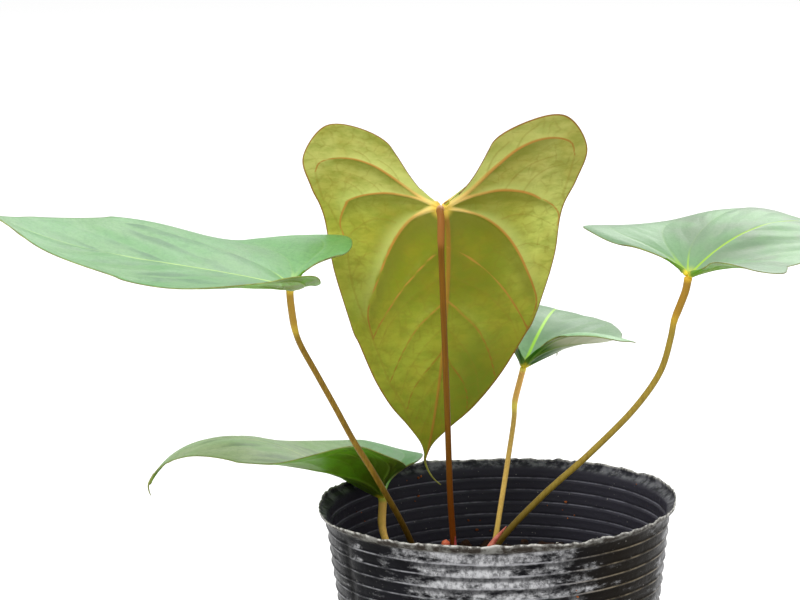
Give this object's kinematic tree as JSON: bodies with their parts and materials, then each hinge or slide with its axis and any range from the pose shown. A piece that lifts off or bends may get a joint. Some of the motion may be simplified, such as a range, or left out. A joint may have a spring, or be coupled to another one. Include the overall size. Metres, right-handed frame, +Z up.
{
  "type": "potted anthurium",
  "caption": "Young anthurium with heart-shaped, long-tipped leaves on thin arching stalks, growing in a ribbed black nursery pot filled with potting mix.",
  "frame": {"origin": "centre of the pot's base, on the surface that it stands on", "axes": "+Z up out of the pot, +X to the side where the third leaf stands, +Y to the back"},
  "size_m": [0.2986, 0.2223, 0.2433],
  "materials": {
    "pot_plastic": "soft glossy black with grey dust and scuffs",
    "potting_mix": "coarse damp bark and peat",
    "rootstock_bark": "dull fibrous brown",
    "stalk_brown": "waxy red brown",
    "stalk_olive": "waxy olive to yellow",
    "leaf_old": "matte yellow green underside with tan veins",
    "leaf_green": "satin pale green top with lime veins",
    "sheath_red": "papery pink to red"
  },
  "bodies": {
    "root": {"pot": "pot_plastic", "substrate": "potting_mix", "rootstock": "rootstock_bark", "petiole_1": "stalk_brown", "petiole_2": "stalk_olive", "petiole_3": "stalk_olive", "petiole_4": "stalk_olive", "petiole_5": "stalk_olive", "blade_1": "leaf_old", "blade_2": "leaf_green", "blade_3": "leaf_green", "blade_4": "leaf_green", "blade_5": "leaf_green", "cataphyll_1": "sheath_red", "cataphyll_2": "sheath_red", "new_leaf": "sheath_red"}
  },
  "joints": []
}
